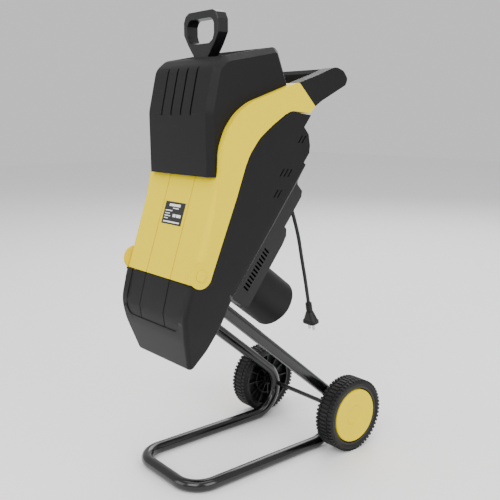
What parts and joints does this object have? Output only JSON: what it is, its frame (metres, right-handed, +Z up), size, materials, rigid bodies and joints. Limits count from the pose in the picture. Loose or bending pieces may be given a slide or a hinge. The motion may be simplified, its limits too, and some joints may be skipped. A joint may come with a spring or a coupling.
{
  "type": "wood chipper",
  "caption": "Electric garden chipper on a wheeled tube stand: hopper with push-down plunger folds forward over a motor-driven cutting disc.",
  "frame": {"origin": "centre of the box that the object fills without its cord, on the floor", "axes": "+Z up, -Y to the front where the hood and hopper face, +X to the side of the right wheel"},
  "size_m": [0.334, 0.4876, 0.917],
  "materials": {
    "bare_steel": "satin",
    "black_plastic": "fine grain",
    "brass": "satin",
    "carbon": "matte",
    "cast_alloy": "cast",
    "copper": "varnished",
    "cord_rubber": "satin",
    "frame_paint": "gloss",
    "label": "printed",
    "lamination": "matte",
    "red_plastic": "gloss",
    "tyre_rubber": "matte",
    "yellow_plastic": "satin",
    "zinc_steel": "bright"
  },
  "bodies": {
    "stand": {"stand_frame": "frame_paint", "axle": "frame_paint", "axle_spacers": "black_plastic", "axle_retainers": "zinc_steel", "leg_clamps": "black_plastic", "leg_clamp_screws": "zinc_steel", "base_housing": "black_plastic", "hinge_pins": "yellow_plastic", "chamber_liner": "bare_steel", "counter_blade": "bare_steel", "rear_housing": "black_plastic", "housing_screws": "zinc_steel", "motor_plate": "cast_alloy", "motor_plate_screws": "zinc_steel", "motor_can": "black_plastic", "front_bearing": "bare_steel", "rear_bearing": "bare_steel", "motor_stator": "lamination", "field_coils": "copper", "carbon_brushes": "carbon", "brush_holders": "brass", "switch_housing": "black_plastic", "button_guide": "black_plastic", "safety_switch": "black_plastic", "capacitor": "black_plastic", "cord_gland": "cord_rubber", "power_cord": "cord_rubber", "plug_body": "cord_rubber", "plug_pins": "bare_steel"},
    "rotor": {"motor_shaft": "bare_steel", "motor_armature": "lamination", "commutator": "copper", "cooling_fan": "black_plastic", "cutting_disc": "bare_steel", "disc_blades": "bare_steel", "blade_screws": "zinc_steel", "disc_bolt": "zinc_steel"},
    "hopper_unit": {"front_cover": "yellow_plastic", "hopper": "black_plastic", "feed_chute": "black_plastic", "hopper_screws": "zinc_steel", "rating_label": "label", "push_handle": "black_plastic", "handle_screws": "zinc_steel", "lock_tab": "zinc_steel"},
    "lock": {"lock_knob": "black_plastic", "lock_spindle": "bare_steel"},
    "plunger": {"plunger_handle": "black_plastic", "plunger_paddle": "black_plastic"},
    "rocker": {"switch_rocker": "red_plastic"},
    "button": {"reset_button": "red_plastic"},
    "right_wheel": {"right_tyre": "tyre_rubber", "right_rim": "black_plastic", "right_bush": "bare_steel", "right_cap": "yellow_plastic"},
    "left_wheel": {"left_tyre": "tyre_rubber", "left_rim": "black_plastic", "left_bush": "bare_steel", "left_cap": "yellow_plastic"}
  },
  "joints": [
    {"name": "hopper_fold", "type": "hinge", "parent": "stand", "child": "hopper_unit", "pos_m": [0, -0.208, 0.437], "axis": [1, 0, 0], "range_deg": [0, 75]},
    {"name": "plunger_slide", "type": "slide", "parent": "hopper_unit", "child": "plunger", "axis": [0, 0, 1], "range_m": [0, 0.3]},
    {"name": "rotor_spin", "type": "hinge", "parent": "stand", "child": "rotor", "pos_m": [0, -0.09784, 0.44695], "axis": [0, 0.788, -0.6157], "continuous": true},
    {"name": "lock_turn", "type": "hinge", "parent": "stand", "child": "lock", "pos_m": [0, 0.08277, 0.66581], "axis": [0, 0.7859, 0.6184], "range_deg": [0, 180]},
    {"name": "switch_rock", "type": "hinge", "parent": "stand", "child": "rocker", "pos_m": [-0.034, 0.05325, 0.53069], "axis": [1, 0, 0], "range_deg": [-12, 0]},
    {"name": "reset_press", "type": "slide", "parent": "stand", "child": "button", "axis": [0, -0.788, 0.6157], "range_m": [0, 0.003], "stiffness_N_per_m": 300, "springref_m": -0.001},
    {"name": "right_wheel_spin", "type": "hinge", "parent": "stand", "child": "right_wheel", "pos_m": [0.144, 0.164, 0.08], "axis": [1, 0, 0], "continuous": true},
    {"name": "left_wheel_spin", "type": "hinge", "parent": "stand", "child": "left_wheel", "pos_m": [-0.144, 0.164, 0.08], "axis": [1, 0, 0], "continuous": true}
  ]
}
